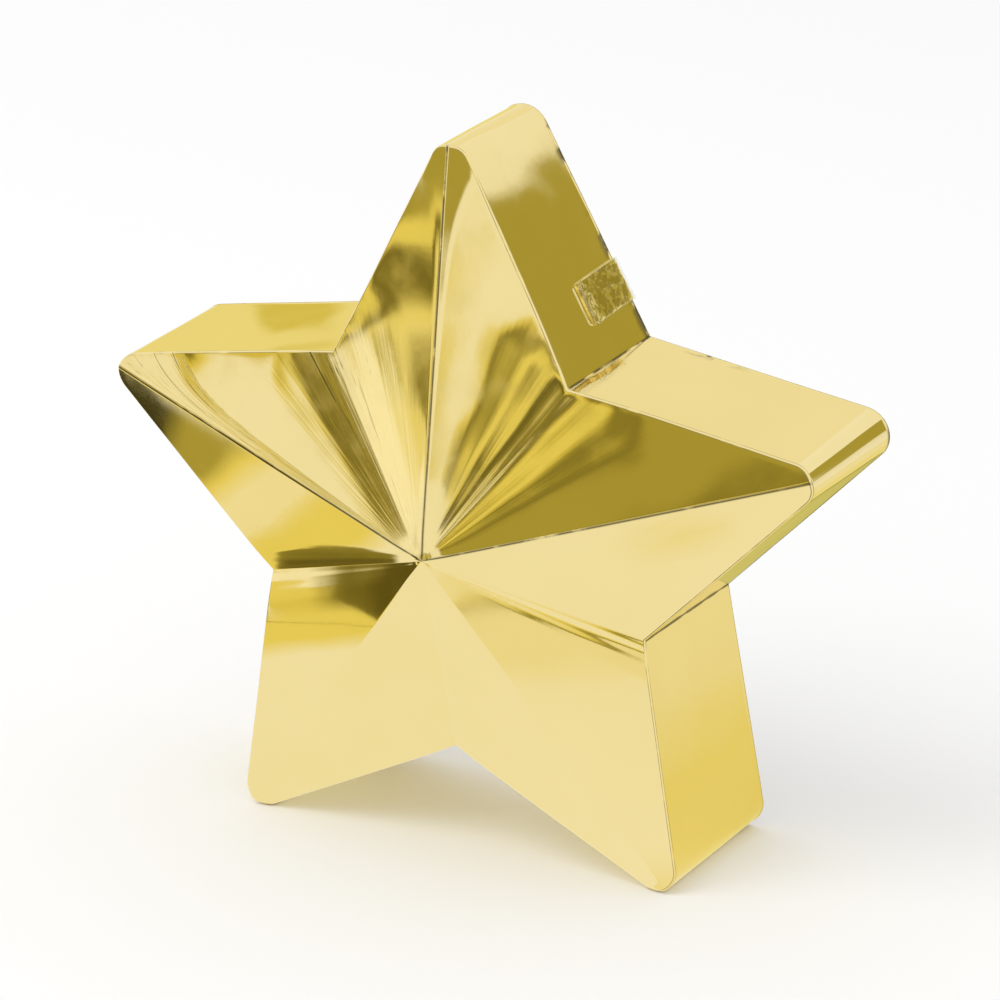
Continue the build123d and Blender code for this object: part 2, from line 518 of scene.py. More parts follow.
# the star is drawn lying on its rim and stands on its two lower points
TO_EDGE = hypot(VALLEY_RADIUS * sin(HALF_STEP), STAR_RADIUS - VALLEY_RADIUS * cos(HALF_STEP))
OUT_Y = VALLEY_RADIUS * sin(HALF_STEP) / TO_EDGE
OUT_X = (STAR_RADIUS - VALLEY_RADIUS * cos(HALF_STEP)) / TO_EDGE
EDGE_DISTANCE = STAR_RADIUS * OUT_Y
ROUND_CENTRE = STAR_RADIUS - POINT_ROUND / OUT_Y
LEAN = tan(DRAFT)
TILT = tan(RIM_TILT)


def standing():
    foot_drop = POINT_ROUND + ROUND_CENTRE * cos(HALF_STEP)
    rim_foot = foot_drop / (1 - TILT * LEAN)
    front_reach = (WALL_DEPTH + PEAK_HEIGHT) * cos(DRAFT)
    back_reach = rim_foot * (sin(DRAFT) + TILT * cos(DRAFT))
    lift = Vector((0, (front_reach - back_reach) / 2, foot_drop * cos(DRAFT)))
    return Matrix.Translation(lift) @ Matrix.Rotation(pi / 2 + DRAFT, 4, "X")


STANDING = standing()
SHELL_SIZES = {
    "Star radius": STAR_RADIUS,
    "Valley radius": VALLEY_RADIUS,
    "Point round": POINT_ROUND,
    "Wall depth": WALL_DEPTH,
    "Peak height": PEAK_HEIGHT,
    "Draft": DRAFT,
    "Rim tilt": RIM_TILT,
    "Front round": FRONT_ROUND,
    "Sheet": SHELL_WALL,
    "Upper left crease": UPPER_LEFT_CREASE,
    "Upper right crease": UPPER_RIGHT_CREASE,
    "Lower crease": LOWER_CREASE,
    "Ridge round": RIDGE_ROUND,
    "Ripple height": RIPPLE_HEIGHT,
    "Upper softness": UPPER_SOFTNESS,
    "Lower softness": LOWER_SOFTNESS,
    "Lip slope": LIP_SLOPE,
    "Lip width": LIP_WIDTH,
    "Pinch depth": PINCH_DEPTH,
    "Wave height": WAVE_HEIGHT,
    "Wave length": WAVE_LENGTH,
}
star_shell = formed_piece(
    "gold_star_shell", star_shell_form(SHELL_SIZES), {**SHELL_SIZES, "Finish": gold_finish()}
)
star_shell.data.transform(STANDING)
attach(star_shell, "star")
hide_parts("star_shell")

# Plaster filling: cast in the shell as a slurry, so it takes the shell's shape and shrinks a
# hair from it as it dries. It is chalky white, with the pinholes of small air bubbles.


def plaster_finish():
    finish, chalk = new_finish("plaster")
    place = chalk.node("ShaderNodeTexCoord", output="Object")
    clouds = speckle(chalk, place, 0.012, 4.0)
    grain = speckle(chalk, place, 0.0006, 3.0)
    holes = cell_spots(chalk, place, 220.0, 0.06, 0.14)
    white = tinted(chalk, clouds, (0.80, 0.78, 0.73, 1), (0.90, 0.89, 0.86, 1))
    # the pinholes are painted darker: a painted shade inside them
    colour = tinted(chalk, holes, white, (0.55, 0.53, 0.49, 1))
    bump = bumped(chalk, 0.3 * grain - holes, 0.8, 0.0003)
    return surfaced(
        finish, {"Base Color": colour, "Roughness": 0.85 + 0.1 * grain, "Normal": bump}
    )


def refinish(node, finish):
    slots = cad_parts[node].data.materials
    slots.clear()
    slots.append(finish)


refinish("plaster_filling", plaster_finish())

# Back board: a star cut by a die from grey recycled board, laid on the plaster just inside the
# rim. Its face is matt, with darker and lighter fibres, and its edge is a little furred.


def board_finish():
    finish, pulp = new_finish("board")
    place = pulp.node("ShaderNodeTexCoord", output="Object")
    clouds = speckle(pulp, place, 0.018, 4.0)
    warp = speckle(pulp, place, 0.003, 2.0)
    strands = []
    for turn in (0.5, 1.3, 2.2, 2.9):
        turned = pulp.node(
            "ShaderNodeVectorRotate", {"rotation_type": "Y_AXIS"}, {"Vector": place, "Angle": turn}
        )
        laid = pulp.node("ShaderNodeMapping", None, {"Vector": turned, "Scale": (1.0, 1.0, 0.1)})
        strands.append(speckle(pulp, laid, 0.0005, 2.0))
    dark = eased(strands[0].most(strands[1]), 0.62, 0.74)
    light = eased(strands[2].most(strands[3]), 0.62, 0.74)
    flecks = eased(speckle(pulp, place, 0.0011, 3.0), 0.66, 0.72)
    grey = tinted(pulp, clouds, (0.40, 0.37, 0.31, 1), (0.52, 0.48, 0.41, 1))
    grey = tinted(pulp, 0.3 * dark, grey, (0.25, 0.22, 0.18, 1))
    grey = tinted(pulp, 0.35 * light, grey, (0.72, 0.68, 0.60, 1))
    colour = tinted(pulp, 0.6 * flecks, grey, (0.20, 0.17, 0.14, 1))
    bump = bumped(pulp, strands[0] + strands[2] + 0.4 * warp, 0.5, 0.00008)
    return surfaced(
        finish, {"Base Color": colour, "Roughness": 0.82 + 0.12 * warp, "Normal": bump}
    )


refinish("back_board", board_finish())

# Glue bead: hot-melt glue run by hand round the corner between the board and the shell. It is
# milky, glossy and uneven, thick where the gun stopped and thin where it went fast.

BOARD_RECESS = 0.0020
BEAD_LEG = 0.0015
BEAD_FEATHER = 0.0001
BEAD_STEPS = 44
BEAD_FACE_POINTS = 7
BEAD_HOLLOW = 0.22
BEAD_THIN = 0.45
LUMP_LENGTH = 0.006
CLIMB_NOISE = Vector((0, 0, 7.3))
ARC_SHARE = 0.2


def star_line(inset, steps):
    """Points round the star at an inset from its rim line, clockwise from the top."""
    edge_turn = pi / 2 - atan(OUT_X / OUT_Y)
    size = (EDGE_DISTANCE - inset) / EDGE_DISTANCE
    start = Vector((0, ROUND_CENTRE)) + (POINT_ROUND - inset) * Vector((OUT_X, OUT_Y))
    end = VALLEY_RADIUS * size * Vector((sin(HALF_STEP), cos(HALF_STEP)))
    half = []
    for step in range(steps):
        share = step / steps
        if share < ARC_SHARE:
            turn = pi / 2 - (pi / 2 - edge_turn) * share / ARC_SHARE
            out = Vector((cos(turn), sin(turn)))
            half.append(Vector((0, ROUND_CENTRE)) + (POINT_ROUND - inset) * out)
        else:
            half.append(start.lerp(end, (share - ARC_SHARE) / (1 - ARC_SHARE)))
    mirrored = [Vector((-p.x, p.y)) for p in half[:0:-1]]
    line = []
    for number in range(POINTS):
        turn = Matrix.Rotation(-2 * HALF_STEP * number, 2)
        line += [turn @ p for p in half]
        line += [turn @ end]
        next_turn = Matrix.Rotation(-2 * HALF_STEP * (number + 1), 2)
        line += [next_turn @ p for p in mirrored]
    return line


def on_rim_plane(flat, depth):
    """The point over a flat place, at a depth in front of the tilted rim."""
    height = flat.y * TILT + depth / cos(RIM_TILT)
    size = 1 - height * LEAN / EDGE_DISTANCE
    return Vector((flat.x * size, flat.y * size, height))


def glue_bead_mesh():
    corner = star_line(SHELL_WALL, BEAD_STEPS)
    wide = star_line(SHELL_WALL + BEAD_LEG, BEAD_STEPS)
    feather = star_line(SHELL_WALL + BEAD_FEATHER, BEAD_STEPS)
    count = len(corner)
    points = []
    for station in range(count):
        spot = corner[station].to_3d() / LUMP_LENGTH
        foot_share = 1 - BEAD_THIN * (0.5 + 0.5 * noise.noise(spot))
        climb_share = 1 - BEAD_THIN * (0.5 + 0.5 * noise.noise(spot + CLIMB_NOISE))
        foot = on_rim_plane(corner[station].lerp(wide[station], foot_share), BOARD_RECESS)
        top = on_rim_plane(feather[station], BOARD_RECESS - BEAD_LEG * climb_share)
        root = on_rim_plane(corner[station], BOARD_RECESS)
        edge = on_rim_plane(corner[station], BOARD_RECESS - BEAD_LEG * climb_share)
        points += [root, foot]
        for step in range(1, BEAD_FACE_POINTS):
            share = step / BEAD_FACE_POINTS
            hollow = BEAD_HOLLOW * share * (1 - share) * 4 * (0.6 + 0.4 * noise.noise(spot * 3))
            points.append(foot.lerp(top, share).lerp(root, hollow))
        points += [top, edge]
    ring = len(points) // count
    faces = []
    for station in range(count):
        here, there = station * ring, (station + 1) % count * ring
        for step in range(ring):
            beside = (step + 1) % ring
            faces.append((here + step, here + beside, there + beside, there + step))
    mesh = bpy.data.meshes.new("hot_melt_bead")
    mesh.from_pydata([STANDING @ p for p in points], [], faces)
    return mesh


def bead_finish():
    finish, melt = new_finish("hot_melt")
    place = melt.node("ShaderNodeTexCoord", output="Object")
    clouds = speckle(melt, place, 0.005, 3.0)
    bubbles = cell_spots(melt, place, 900.0, 0.1, 0.2)
    milk = tinted(melt, clouds, (0.83, 0.78, 0.64, 1), (0.91, 0.88, 0.79, 1))
    colour = tinted(melt, 0.5 * bubbles, milk, (0.96, 0.95, 0.90, 1))
    return surfaced(
        finish,
        {
            "Base Color": colour,
            "Roughness": 0.22 + 0.15 * clouds,
            "Subsurface Weight": 0.35,
            "Subsurface Scale": 0.001,
            "Subsurface Radius": (1.0, 0.9, 0.7),
            "Normal": bumped(melt, speckle(melt, place, 0.0012), 0.4, 0.0001),
        },
    )


def finished_piece(name, mesh, finish):
    mesh.materials.append(finish)
    piece = bpy.data.objects.new(name, mesh)
    bpy.context.scene.collection.objects.link(piece)
    return piece


bead = finished_piece("hot_melt_bead", glue_bead_mesh(), bead_finish())
bead.data.shade_smooth()
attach(bead, "star")
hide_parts("glue_bead")

# Tab adhesive: clear glue off a roll, pressed between the film and the side wall by a thumb.
# It wets the metal in blotches, with bubbles and bare spots between them, and shows its gold.

TAB_WIDTH = 0.0060
TAB_FROM_VALLEY = 0.0085
WALL_LAP = 0.0110
ADHESIVE = 0.0002
FILM = 0.0003
RIM_GAP = 0.0001
FOLD_GAP = 0.0002
GLUE_MARGIN = 0.00010
GLUE_SINK = 0.00024
GLUE_THINNING = 0.75
GLUE_THIN_FROM = 0.8
GLUE_COLUMNS = 56
GLUE_ROWS = 36
GLUE_LUMP = 0.0011
SHARP_ANGLE = radians(40)

FORWARD = Vector((0, -sin(RIM_TILT), cos(RIM_TILT)))
OUT_OF_EDGE = Vector((OUT_X, OUT_Y, 0))


def on_rim(flat):
    rise = flat.y * TILT / (1 + flat.y * TILT * LEAN / EDGE_DISTANCE)
    return flat * (1 - rise * LEAN / EDGE_DISTANCE) + Vector((0, 0, rise))


TOP_RIM = on_rim(Vector((0, STAR_RADIUS, 0)))
VALLEY_RIM = on_rim(Vector((sin(HALF_STEP), cos(HALF_STEP), 0)) * VALLEY_RADIUS)
ALONG_RIM = (VALLEY_RIM - TOP_RIM).normalized()
RIM_POINT = VALLEY_RIM - ALONG_RIM * TAB_FROM_VALLEY
WALL_OUTWARD = OUT_OF_EDGE * cos(DRAFT) + Vector((0, 0, sin(DRAFT)))
WALL_FORWARD = ALONG_RIM.cross(WALL_OUTWARD)
ACROSS_BACK = ALONG_RIM.cross(FORWARD)
LAP_START = FILM / 2 + FOLD_GAP - (RIM_GAP + FILM / 2)


def on_wall(forward, across, lift):
    return RIM_POINT + WALL_FORWARD * forward + ALONG_RIM * across + WALL_OUTWARD * lift


def adhesive_mesh():
    # a lumpy upper face, thinner at the front end, and a lower one sunk into the wall's waves
    points = []
    for layer in (0, 1):
        for row in range(GLUE_ROWS):
            across_share = row / (GLUE_ROWS - 1) * 2 - 1
            for column in range(GLUE_COLUMNS):
                share = column / (GLUE_COLUMNS - 1)
                spot = Vector((share * WALL_LAP, across_share * TAB_WIDTH / 2, 3.0)) / GLUE_LUMP
                ooze = GLUE_MARGIN * (0.5 + 0.5 * noise.noise(spot * 0.6))
                forward = LAP_START + (WALL_LAP - ooze - LAP_START) * share
                across = (TAB_WIDTH / 2 - ooze) * across_share
                rim = min(share, 1 - share, (1 - abs(across_share)) / 2) > 0
                lumps = 0.5 + 0.5 * noise.noise(spot) if rim else 0.9
                end_share = max(0.0, share - GLUE_THIN_FROM) / (1 - GLUE_THIN_FROM)
                thin = 1 - GLUE_THINNING * end_share
                lift = ADHESIVE * (0.6 + 0.36 * lumps) * thin if layer else -GLUE_SINK
                points.append(STANDING @ on_wall(forward, across, lift))
    size = GLUE_ROWS * GLUE_COLUMNS
    faces = []
    for row in range(GLUE_ROWS - 1):
        for column in range(GLUE_COLUMNS - 1):
            first = row * GLUE_COLUMNS + column
            loop = (first, first + 1, first + GLUE_COLUMNS + 1, first + GLUE_COLUMNS)
            faces.append(loop[::-1])
            faces.append(tuple(corner + size for corner in loop))
    last_row = size - GLUE_COLUMNS
    border = list(range(GLUE_COLUMNS))
    border += [(row + 1) * GLUE_COLUMNS - 1 for row in range(1, GLUE_ROWS)]
    border += [last_row + column for column in range(GLUE_COLUMNS - 2, -1, -1)]
    border += [row * GLUE_COLUMNS for row in range(GLUE_ROWS - 2, 0, -1)]
    for here, there in zip(border, border[1:] + border[:1]):
        faces.append((here, there, there + size, here + size))
    mesh = bpy.data.meshes.new("tab_glue")
    mesh.from_pydata(points, [], faces)
    return mesh


def adhesive_finish():
    finish, glue = new_finish("adhesive")
    place = glue.node("ShaderNodeTexCoord", output="Object")
    blotches = eased(speckle(glue, place, 0.0010, 3.0), 0.42, 0.62)
    bubbles = cell_spots(glue, place, 1100.0, 0.15, 0.3)
    colour = tinted(glue, blotches, (0.66, 0.52, 0.17, 1), (1.0, 0.86, 0.42, 1))
    relief = speckle(glue, place, 0.0009) + 0.3 * bubbles
    return surfaced(
        finish,
        {
            "Base Color": colour,
            "Metallic": 1.0,
            "Roughness": 0.07 + 0.1 * blotches,
            "Alpha": 0.92 - 0.5 * bubbles,
            "Normal": bumped(glue, relief, 0.28, 0.0002),
        },
    )


adhesive = finished_piece("tab_glue_patch", adhesive_mesh(), adhesive_finish())
adhesive.data.shade_smooth()
adhesive.data.set_sharp_from_angle(angle=SHARP_ANGLE)
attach(adhesive, "star")
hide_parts("tab_adhesive")

# Tie tab: one strip of clear polyester film. Its end is stuck along the side wall, it folds
# over the rim there, and its round eye lies behind the star and takes the balloon's ribbon.

EYE_RADIUS = 0.0050
TIE_HOLE_RADIUS = 0.0020
FOLD_RADIUS = 0.0003
FILM_COLUMNS = 15
LAP_ROWS = 26
FOLD_ROWS = 9
BACK_ROWS = 18
EYE_ROWS = 7
EYE_STEPS = 44
FILM_WAVE = 0.00006
FILM_WAVE_LENGTH = 0.0035
END_ROUND = 0.0007

# the fold is an arc between the lap on the wall and the strip that crosses the back
fold_out = ADHESIVE + FILM / 2
fold_back = RIM_GAP + FILM / 2
to_back = -WALL_FORWARD
fold_turn = to_back.angle(ACROSS_BACK)
to_middle = (ACROSS_BACK - to_back * cos(fold_turn)).normalized()
fold_tangent = FOLD_RADIUS * tan(fold_turn / 2)
half_fold = FOLD_RADIUS * fold_turn / 2
behind = RIM_POINT - FORWARD * fold_back - (RIM_POINT + WALL_OUTWARD * fold_out)
fold_shift = behind.dot(to_middle) / sin(fold_turn)
fold_corner = RIM_POINT - FORWARD * fold_back - ACROSS_BACK * fold_shift
lap_end = WALL_LAP + (fold_corner - RIM_POINT).dot(to_back) - fold_tangent + half_fold
eye_reach = -RIM_POINT.x / ACROSS_BACK.x
eye_run = eye_reach - (fold_corner - RIM_POINT).dot(ACROSS_BACK) - fold_tangent + half_fold


def on_film(run, across):
    """A place on the middle of the film, by its run from the fold and its place across."""
    spot = Vector((run, across, 0)) / FILM_WAVE_LENGTH
    if run < -half_fold:
        middle = fold_corner - to_back * (fold_tangent - run - half_fold)
        outward = -to_middle
    elif run > half_fold:
        middle = fold_corner + ACROSS_BACK * (fold_tangent + run - half_fold)
        outward = to_back * sin(fold_turn) - to_middle * cos(fold_turn)
    else:
        turn = (run + half_fold) / FOLD_RADIUS
        middle = fold_corner - to_back * fold_tangent
        middle += to_back * FOLD_RADIUS * sin(turn) + to_middle * FOLD_RADIUS * (1 - cos(turn))
        outward = to_back * sin(turn) - to_middle * cos(turn)
    clear = min(1.0, max(0.0, abs(run) - half_fold) / FILM_WAVE_LENGTH)
    wave = FILM_WAVE * clear * (0.5 + 0.5 * noise.noise(spot))
    return STANDING @ (middle + ALONG_RIM * across + outward * wave)


def film_mesh():
    widest = asin(TAB_WIDTH / 2 / EYE_RADIUS)
    turns = [widest * (2 * c / (FILM_COLUMNS - 1) - 1) for c in range(FILM_COLUMNS)]
    points = []
    faces = []

    def add_row(places):
        points.extend(on_film(run, across) for run, across in places)
        return range(len(points) - len(places), len(points))

    rows = []
    for row in range(LAP_ROWS):
        share = row / LAP_ROWS
        places = []
        for turn in turns:
            across = EYE_RADIUS * sin(turn)
            corner = max(0.0, abs(across) - TAB_WIDTH / 2 + END_ROUND)
            start = -lap_end + END_ROUND - (END_ROUND**2 - corner**2) ** 0.5
            places.append((start + (-half_fold - start) * share, across))
        rows.append(add_row(places))
    for row in range(FOLD_ROWS):
        run = half_fold * (2 * row / FOLD_ROWS - 1)
        rows.append(add_row([(run, EYE_RADIUS * sin(turn)) for turn in turns]))
    for row in range(BACK_ROWS + 1):
        share = row / BACK_ROWS
        places = []
        for turn in turns:
            end = eye_run - EYE_RADIUS * cos(turn)
            places.append((half_fold + (end - half_fold) * share, EYE_RADIUS * sin(turn)))
        rows.append(add_row(places))
    for upper, lower in zip(rows, rows[1:]):
        for left in range(FILM_COLUMNS - 1):
            faces.append((upper[left], upper[left + 1], lower[left + 1], lower[left]))

    round_turns = [
        widest + (2 * pi - 2 * widest) * step / EYE_STEPS for step in range(1, EYE_STEPS)
    ]
    rings = []
    for row in range(EYE_ROWS):
        radius = EYE_RADIUS + (TIE_HOLE_RADIUS - EYE_RADIUS) * row / (EYE_ROWS - 1)
        ring_turns = round_turns if row == 0 else turns + round_turns
        ring = list(add_row([(eye_run - radius * cos(t), radius * sin(t)) for t in ring_turns]))
        rings.append([*rows[-1], *ring] if row == 0 else ring)
    for outer, inner in zip(rings, rings[1:]):
        for here in range(len(outer)):
            there = (here + 1) % len(outer)
            faces.append((outer[here], outer[there], inner[there], inner[here]))
    mesh = bpy.data.meshes.new("tie_tab_film")
    mesh.from_pydata(points, [], faces)
    return mesh


def film_finish():
    finish, film = new_finish("clear_film")
    place = film.node("ShaderNodeTexCoord", output="Object")
    haze = speckle(film, place, 0.003, 4.0)
    return surfaced(
        finish,
        {
            "Base Color": tinted(film, haze, (0.96, 0.95, 0.91, 1), (0.99, 0.99, 0.97, 1)),
            "Roughness": 0.01 + 0.03 * eased(haze, 0.5, 0.75),
            "IOR": 1.08,
            "Coat Weight": 1.0,
            "Coat Roughness": 0.05,
            "Transmission Weight": 1.0,
            "Normal": bumped(film, speckle(film, place, 0.0014), 0.5, 0.00006),
        },
    )


def thickened(piece, thickness):
    wall = piece.modifiers.new("wall", "SOLIDIFY")
    wall.thickness = thickness
    wall.offset = 0.0
    depsgraph = bpy.context.evaluated_depsgraph_get()
    piece.data = bpy.data.meshes.new_from_object(
        piece.evaluated_get(depsgraph), depsgraph=depsgraph
    )
    piece.modifiers.clear()
    piece.data.shade_smooth()
    piece.data.set_sharp_from_angle(angle=SHARP_ANGLE)


film = finished_piece("tie_tab_film", film_mesh(), film_finish())
thickened(film, FILM)
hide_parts("tab_stuck_end", "tab_free_end")
on_film(-2 * half_fold, 0)
on_film(2 * half_fold, 0)
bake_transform(film)

# Floor and light: a white table in white surroundings, lit softly from above. Glowing tinted cards
# stand and lie round the star, unseen by the camera and casting no light or shadow; only the metal
# mirrors them, so they are painted reflections in white, gold, olive, brown and black.

world = bpy.data.worlds.new("white_room")
bpy.context.scene.world = world
world.use_nodes = True
world.node_tree.nodes.clear()
room = Wire(world.node_tree)
camera_ray = room.node("ShaderNodeLightPath", output="Is Camera Ray")
glossy_ray = camera_ray.beside("Is Glossy Ray")
passing_ray = camera_ray.beside("Is Transmission Ray")
seen = (camera_ray + glossy_ray + passing_ray).least(1.0)
background = room.node(
    "ShaderNodeBackground", None, {"Color": (1, 1, 1, 1), "Strength": 0.9 + 0.1 * seen}
)
room.node("ShaderNodeOutputWorld", None, {"Surface": background})


def sheet_of(name, corners):
    """A sheet between a line of points and the line that comes back, spread from 0 to 1."""
    count = len(corners) // 2
    faces = [(i, i + 1, count + i + 1, count + i) for i in range(count - 1)]
    mesh = bpy.data.meshes.new(name)
    mesh.from_pydata(corners[:count] + corners[: count - 1 : -1], [], faces)
    spread = mesh.uv_layers.new(name="spread")
    for corner in mesh.loops:
        row, place = divmod(corner.vertex_index, count)
        spread.data[corner.index].uv = (place / (count - 1), row)
    made = bpy.data.objects.new(name, mesh)
    bpy.context.scene.collection.objects.link(made)
    return made


floor = sheet_of("table", [(-4, -4, 0), (4, -4, 0), (4, 4, 0), (-4, 4, 0)])
finish, sheet = new_finish("white_table")
matt = sheet.node("ShaderNodeBsdfDiffuse", None, {"Color": (0.95, 0.95, 0.95, 1)})
sheet.node("ShaderNodeOutputMaterial", None, {"Surface": matt})
floor.data.materials.append(finish)

# tints of the glowing cards, painted reflections in the gold: white and gold for light, olive, dark,
# brown and black for darker surroundings
WHITE = (1.0, 1.0, 1.0)
GOLD = (0.90, 0.80, 0.26)
OCHRE = (0.73, 0.62, 0.13)
OLIVE = (0.44, 0.385, 0.083)
DARK = (0.26, 0.225, 0.045)
BROWN = (0.12, 0.10, 0.017)
BLACK = (0.06, 0.055, 0.02)
PLAIN_WHITE = [(0.0, WHITE, 1), (1.0, WHITE, 1)]
MIDDLE_HEIGHT = 0.055


def card(name, corners, stops, side=0.15, wobble=0.1):
    """A glowing tinted sheet that only reflections see, a painted reflection, shaded by stops of
    (place, colour, cover), with soft uneven edges.
    """
    made = sheet_of(name, corners)
    finish, sheet = new_finish(name)
    spread = sheet.node("ShaderNodeTexCoord", output="UV")
    across = sheet.node("ShaderNodeSeparateXYZ", None, {"Vector": spread}, output="X")
    up = across.beside("Y")
    drift = wobble * (speckle(sheet, spread, 1.0 / 3.0) - 0.5)
    colour = sheet.node(
        "ShaderNodeValToRGB",
        {"stops": [(place, (*tint, cover)) for place, tint, cover in stops]},
        {"Fac": up + drift},
    )
    cover = colour.beside("Alpha")
    sides = eased(across + drift, 0.0, side) * eased(1.0 - across + drift, 0.0, side)
    glow = sheet.node("ShaderNodeEmission", None, {"Color": colour, "Strength": 1.0})
    clear = sheet.node("ShaderNodeBsdfTransparent")
    surface = sheet.node("ShaderNodeMixShader", None, {0: cover * sides, 1: clear, 2: glow})
    sheet.node("ShaderNodeOutputMaterial", None, {"Surface": surface})
    made.data.materials.append(finish)
    made.visible_camera = False
    made.visible_diffuse = False
    made.visible_shadow = False


def beside(turn, height, distance):
    return Vector((sin(radians(turn)), -cos(radians(turn)), 0)) * distance + Vector((0, 0, height))


def band_card(name, start, end, half_width, stops, distance, **edges):
    """A card far from the star, along a line between two (turn, rise) as seen from its middle."""
    start, end = Vector(start), Vector(end)
    side = (end - start).orthogonal().normalized() * half_width
    corners = [
        beside(turn, MIDDLE_HEIGHT + tan(radians(rise)) * distance, distance)
        for turn, rise in (start + side, start - side, end - side, end + side)
    ]
    card(name, corners, stops, **edges)


def standing_card(name, places, stops, distance=0.3, **edges):
    """A card round the star, by the (turn, height) of its corners or of two opposite ones."""
    if len(places) == 2:
        (left, low), (right, high) = places
        places = [(left, low), (right, low), (right, high), (left, high)]
    card(name, [beside(*place, distance) for place in places], stops, **edges)


def floor_card(name, start, end, stops, lift=0.0004, **edges):
    """A level card between two corners, given as (y, x), shaded along x."""
    (y0, x0), (y1, x1) = start, end
    corners = [(x0, y0, lift), (x0, y1, lift), (x1, y1, lift), (x1, y0, lift)]
    card(name, corners, stops, **edges)


def line_card(name, places, stops, **edges):
    """A card round the given (x, y, z) in millimetres, there and back."""
    card(name, [Vector(place) / 1000 for place in places], stops, **edges)


# painted reflections in the facets of the upper points
band_card(
    "front_card", (5.2, 5.5), (-8.8, 5.5), 13.0,
    [
        (0.0, GOLD, 0), (0.065, GOLD, 0.05), (0.09, GOLD, 1), (0.145, OCHRE, 1), (0.17, DARK, 1),
        (0.235, DARK, 1), (0.265, OLIVE, 1), (0.32, OLIVE, 1), (0.355, GOLD, 1), (0.48, GOLD, 1),
        (0.54, DARK, 1), (0.60, BROWN, 1), (0.84, DARK, 1), (0.92, GOLD, 1), (0.95, WHITE, 1),
        (1.0, GOLD, 1),
    ],
    distance=0.7,
    side=0.08,
    wobble=0.05,
)
band_card(
    "right_fan_card", (-9.44, 3.6), (-26.4, 21.9), 11.0,
    [
        (0.0, GOLD, 1), (0.015, GOLD, 1), (0.03, BROWN, 1), (0.09, DARK, 1), (0.125, OCHRE, 1),
        (0.150, GOLD, 1), (0.195, GOLD, 1), (0.230, OCHRE, 1), (0.255, OLIVE, 1), (0.285, DARK, 1),
        (0.325, DARK, 1), (0.370, OLIVE, 1), (1.0, OLIVE, 1),
    ],
    distance=0.68,
    side=0.05,
    wobble=0.03,
)
band_card(
    "streak_card", (-39.7, 7.4), (-46.5, 2.6), 10.0,
    [
        (0.0, GOLD, 0), (0.06, GOLD, 1), (0.15, OCHRE, 1), (0.25, DARK, 1), (0.38, BROWN, 1),
        (0.50, DARK, 1), (0.60, OCHRE, 1), (0.72, BROWN, 1), (0.85, DARK, 1), (1.0, OLIVE, 1),
    ],
    distance=0.8,
)
band_card(
    "lip_card", (-39.0, 10.4), (-39.0, 15.5), 14.0,
    [(0.0, OCHRE, 0), (0.12, OCHRE, 1), (0.88, OCHRE, 1), (1.0, OCHRE, 0)],
    distance=0.7,
)
standing_card(
    "left_card", [(-76, 0.0), (-51, 0.085)],
    [
        (0.0, GOLD, 0), (0.10, GOLD, 0.5), (0.30, GOLD, 0.85), (0.45, GOLD, 0.7), (0.57, GOLD, 0.9),
        (0.62, DARK, 1), (0.66, BROWN, 1), (0.70, GOLD, 1), (0.76, GOLD, 1), (0.81, OLIVE, 1),
        (1.0, OLIVE, 1),
    ],
    wobble=0.25,
)
standing_card(
    "left_ridge_card", [(-60.5, 0.016), (-56.0, 0.040)],
    [(0.0, OLIVE, 0), (0.2, DARK, 1), (0.8, DARK, 1), (1.0, OLIVE, 0)],
    distance=0.29,
)
standing_card(
    "left_patch", [(-55.6, 0.038), (-53.2, 0.049)],
    [(0.0, OLIVE, 0), (0.3, OLIVE, 0.8), (0.7, OLIVE, 0.8), (1.0, OLIVE, 0)],
    distance=0.29,
    side=0.3,
)

# painted reflections in the side walls
standing_card(
    "top_card", [(9.5, 0.066), (21, 0.11)], [(0.0, OLIVE, 0), (0.2, OLIVE, 1), (1.0, OLIVE, 1)]
)
standing_card(
    "right_back_card", [(137, 0.05), (156, 0.05), (156, 0.150), (137, 0.196)],
    [(0.0, OLIVE, 0), (0.12, OLIVE, 1), (0.975, OLIVE, 1), (0.995, OLIVE, 0)],
    side=0.08,
    wobble=0.02,
)
standing_card(
    "left_back_card", [(-165, 0.05), (-120, 0.18)],
    [(0.0, GOLD, 0), (0.2, GOLD, 0.85), (0.8, GOLD, 0.85), (1.0, GOLD, 0)],
)
standing_card(
    "left_back_patch", [(-137.3, 0.106), (-142.3, 0.110), (-141.0, 0.121), (-137.5, 0.118)],
    [(0.0, OCHRE, 1), (0.7, OCHRE, 1), (1.0, OCHRE, 0)],
    distance=0.26,
    side=0.25,
)
standing_card("high_back_card", [(-180, 0.19), (-145, 0.31)], [(0.0, GOLD, 0.3), (1.0, GOLD, 0.3)])

# painted reflections, gold and white, in the lower facets of the left point and in the legs
floor_card(
    "left_floor", (0.0, -0.050), (-0.043, -0.17),
    [
        (0.0, GOLD, 0), (0.10, GOLD, 0.9), (0.19, GOLD, 0.9), (0.25, GOLD, 0.25), (0.32, GOLD, 0.25),
        (0.37, GOLD, 1), (0.42, OLIVE, 1), (0.50, OLIVE, 1), (0.55, BLACK, 1), (1.0, BLACK, 1),
    ],
    side=0.1,
)
floor_card(
    "painted_gold_reflection", (-0.041, -0.062), (-0.068, -0.17),
    [(0.0, GOLD, 0), (0.15, GOLD, 1), (0.3, OCHRE, 1), (0.6, GOLD, 1), (1.0, GOLD, 1)],
    lift=0.0006,
)
line_card(
    "painted_dark_reflection",
    [(-92, -44, 0.8), (-260, -111, 0.8), (-260, -185, 0.8), (-88, -120, 0.8)],
    [(0.0, OLIVE, 0), (0.08, DARK, 1), (0.15, BROWN, 1), (1.0, BROWN, 1)],
    side=0.04,
)
